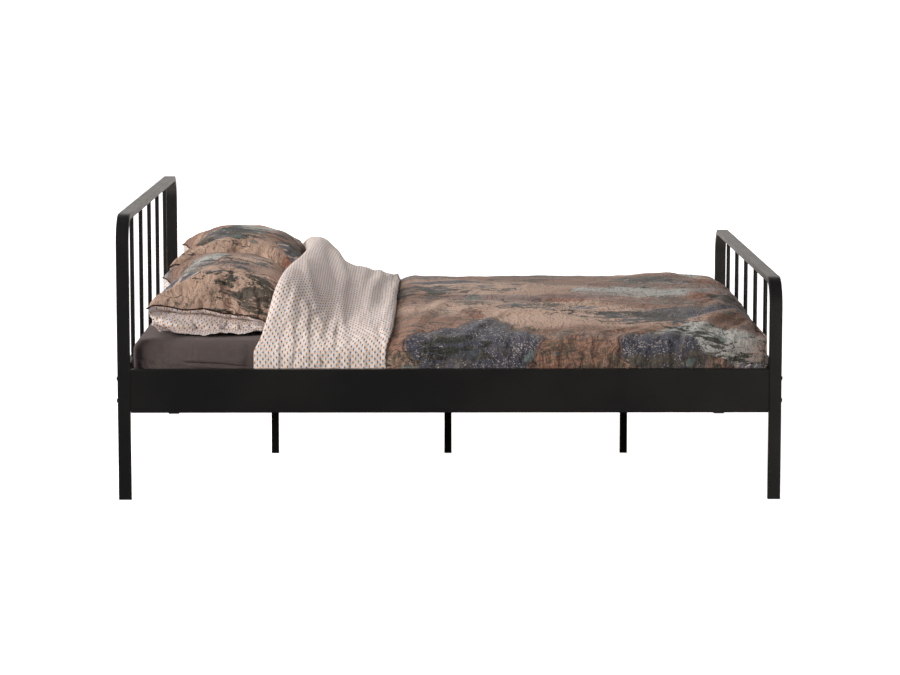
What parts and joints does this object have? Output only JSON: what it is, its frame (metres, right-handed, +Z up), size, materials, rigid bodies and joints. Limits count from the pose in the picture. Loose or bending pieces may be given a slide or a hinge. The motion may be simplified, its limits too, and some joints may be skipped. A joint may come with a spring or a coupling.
{
  "type": "double bed",
  "caption": "Black steel tube double bed with hooped spindle head and foot ends, slat base, mattress, pillows and a turned-down patterned duvet.",
  "frame": {"origin": "on the floor, in the middle of the bed's footprint", "axes": "+X from the head end towards the foot end, +Y towards the sleeper's left, +Z up"},
  "size_m": [2.0964, 1.87, 0.9],
  "materials": {
    "frame_black": "satin",
    "bolt_black": "satin",
    "zinc_steel": "satin",
    "cap_plastic": "matte",
    "holder_plastic": "matte",
    "slat_wood": "satin",
    "mattress_ticking": "matte",
    "sheet_cotton": "matte",
    "pillow_filling": "matte",
    "bedding_print": "matte",
    "bedding_reverse": "matte",
    "piping": "matte"
  },
  "bodies": {
    "bed_frame": {"head_hoop": "frame_black", "head_cross_rail": "frame_black", "head_spindle_1": "frame_black", "head_spindle_2": "frame_black", "head_spindle_3": "frame_black", "head_spindle_4": "frame_black", "head_spindle_5": "frame_black", "head_leg_cap_right": "cap_plastic", "corner_bracket_head_right": "frame_black", "head_leg_cap_left": "cap_plastic", "corner_bracket_head_left": "frame_black", "beam_hanger_head": "frame_black", "foot_hoop": "frame_black", "foot_cross_rail": "frame_black", "foot_spindle_1": "frame_black", "foot_spindle_2": "frame_black", "foot_spindle_3": "frame_black", "foot_spindle_4": "frame_black", "foot_spindle_5": "frame_black", "foot_leg_cap_right": "cap_plastic", "corner_bracket_foot_right": "frame_black", "foot_leg_cap_left": "cap_plastic", "corner_bracket_foot_left": "frame_black", "beam_hanger_foot": "frame_black", "side_rail_right": "frame_black", "slat_ledge_right": "frame_black", "slats_right": "slat_wood", "slat_holders_right": "holder_plastic", "side_rail_left": "frame_black", "slat_ledge_left": "frame_black", "slats_left": "slat_wood", "slat_holders_left": "holder_plastic", "slat_holders_middle": "holder_plastic", "centre_beam": "frame_black", "support_leg_1": "frame_black", "support_leg_2": "frame_black", "support_leg_3": "frame_black", "support_leg_caps": "cap_plastic", "rail_bolts": "bolt_black", "beam_bolts": "bolt_black", "rail_nuts": "zinc_steel", "beam_nuts": "zinc_steel"},
    "mattress_set": {"mattress": "mattress_ticking", "fitted_sheet": "sheet_cotton", "pillow_right": "pillow_filling", "pillowcase_right": "bedding_print", "pillow_left": "pillow_filling", "pillowcase_left": "bedding_print", "duvet": "bedding_print"}
  },
  "joints": [
    {"name": "mattress_lift", "type": "slide", "parent": "bed_frame", "child": "mattress_set", "axis": [0, 0, 1], "range_m": [0, 0.3]}
  ]
}
